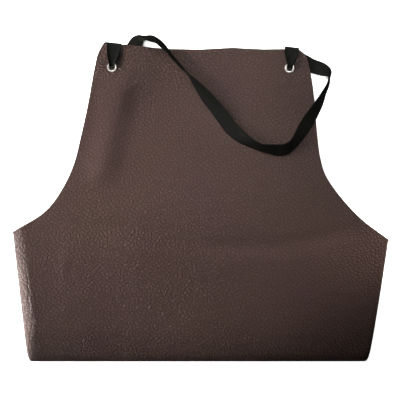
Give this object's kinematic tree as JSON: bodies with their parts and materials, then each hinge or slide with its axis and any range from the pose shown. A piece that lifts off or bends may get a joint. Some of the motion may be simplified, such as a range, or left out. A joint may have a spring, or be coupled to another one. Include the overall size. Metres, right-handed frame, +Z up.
{
  "type": "beekeeping apron",
  "caption": "Brown leather bib apron lying face up, its sides turned under and its skirt rolled under, with a black neck strap drawn through nickel eyelets and laid across the bib.",
  "frame": {"origin": "middle of the surface that the folded apron lies on, below the centre of its outline", "axes": "+Z up, away from the surface it lies on; +Y from the bottom fold towards the top of the bib; +X along the bottom fold, towards the side where the strap's loop comes round the bib"},
  "size_m": [0.523, 0.4562, 0.026],
  "materials": {
    "leather": "dark brown pebble-grained leather with a soft semi-matt sheen",
    "nickel": "bright nickel plate",
    "webbing": "matt black woven webbing"
  },
  "bodies": {
    "root": {"apron_body": "leather", "eyelet_left": "nickel", "eyelet_right": "nickel", "neck_strap": "webbing"}
  },
  "joints": []
}
